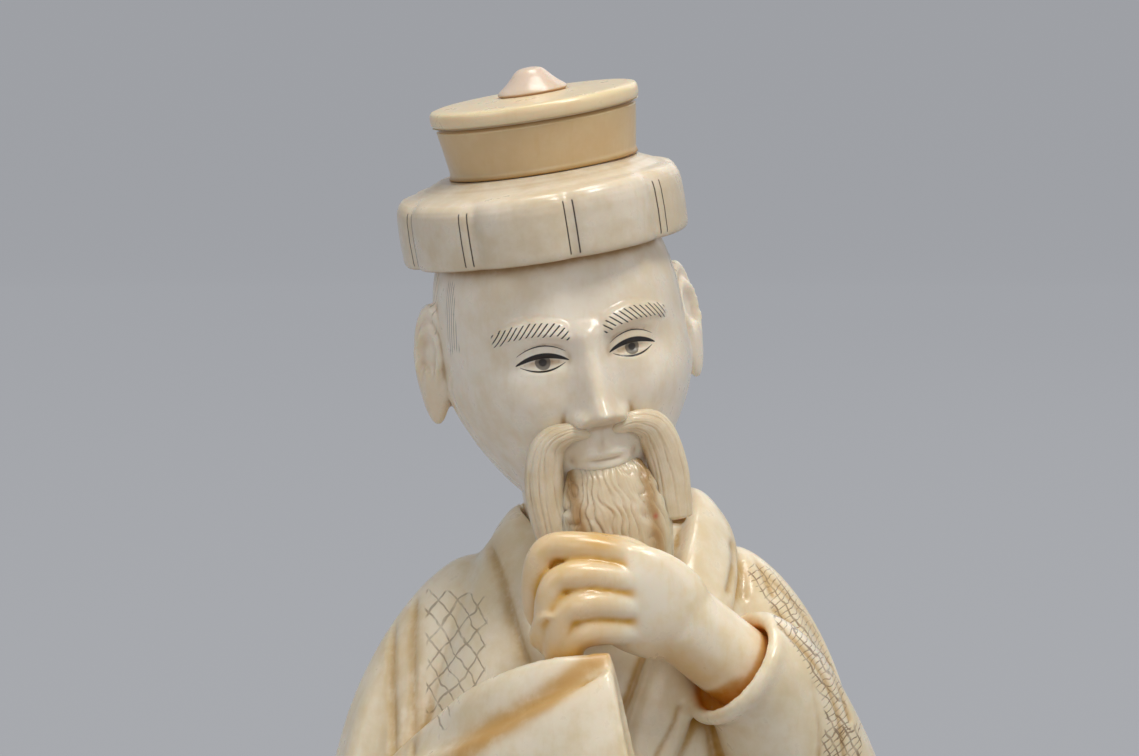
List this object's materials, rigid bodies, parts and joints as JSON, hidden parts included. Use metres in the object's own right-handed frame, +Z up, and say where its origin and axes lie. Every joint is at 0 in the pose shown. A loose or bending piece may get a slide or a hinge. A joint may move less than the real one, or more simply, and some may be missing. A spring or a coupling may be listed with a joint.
{
  "type": "okimono bust figurine",
  "caption": "Carved ivory-coloured bust of a robed old man in a round hat, holding the end of his long beard.",
  "frame": {"origin": "centre of the flat underside, on the upright axis of the robe", "axes": "+Z up, -Y the way the figure faces, +X to the figure's left"},
  "size_m": [0.0489, 0.0379, 0.0732],
  "materials": {
    "robe": "polished ivory, golden in the hollows",
    "head": "polished ivory, pale",
    "hat_crown": "polished ivory, amber and slightly clear",
    "hat_finial": "polished ivory, pinkish",
    "left_hand": "polished ivory, golden between the fingers"
  },
  "bodies": {
    "root": {"robe": "robe", "head": "head", "hat_crown": "hat_crown", "hat_finial": "hat_finial", "left_hand": "left_hand"}
  },
  "joints": []
}
